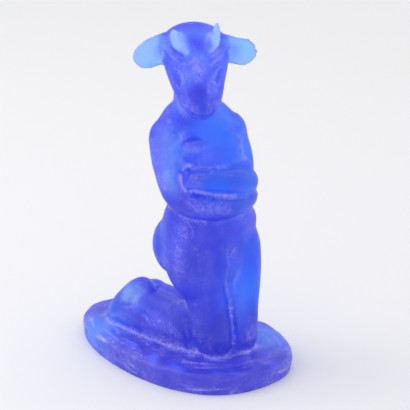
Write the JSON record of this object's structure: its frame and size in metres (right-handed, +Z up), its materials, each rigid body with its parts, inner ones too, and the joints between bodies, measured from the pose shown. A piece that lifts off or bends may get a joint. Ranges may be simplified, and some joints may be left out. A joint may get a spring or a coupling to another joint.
{
  "type": "cast glass figure",
  "caption": "Kneeling woman with a goat's head and folded arms, cast in solid blue glass with her oval base, a figure to stand on a table or shelf",
  "frame": {"origin": "middle of the base's underside, under the middle of the oval's length and width", "axes": "+Z up, the figure's knees point to -Y and her feet lie towards +Y, her right side is at -X"},
  "size_m": [0.1302, 0.2014, 0.2949],
  "materials": {
    "cast_blue_glass": "cobalt blue cast glass, matt and frosted as it left the mould"
  },
  "bodies": {
    "root": {"goat_headed_woman": "cast_blue_glass"}
  },
  "joints": []
}
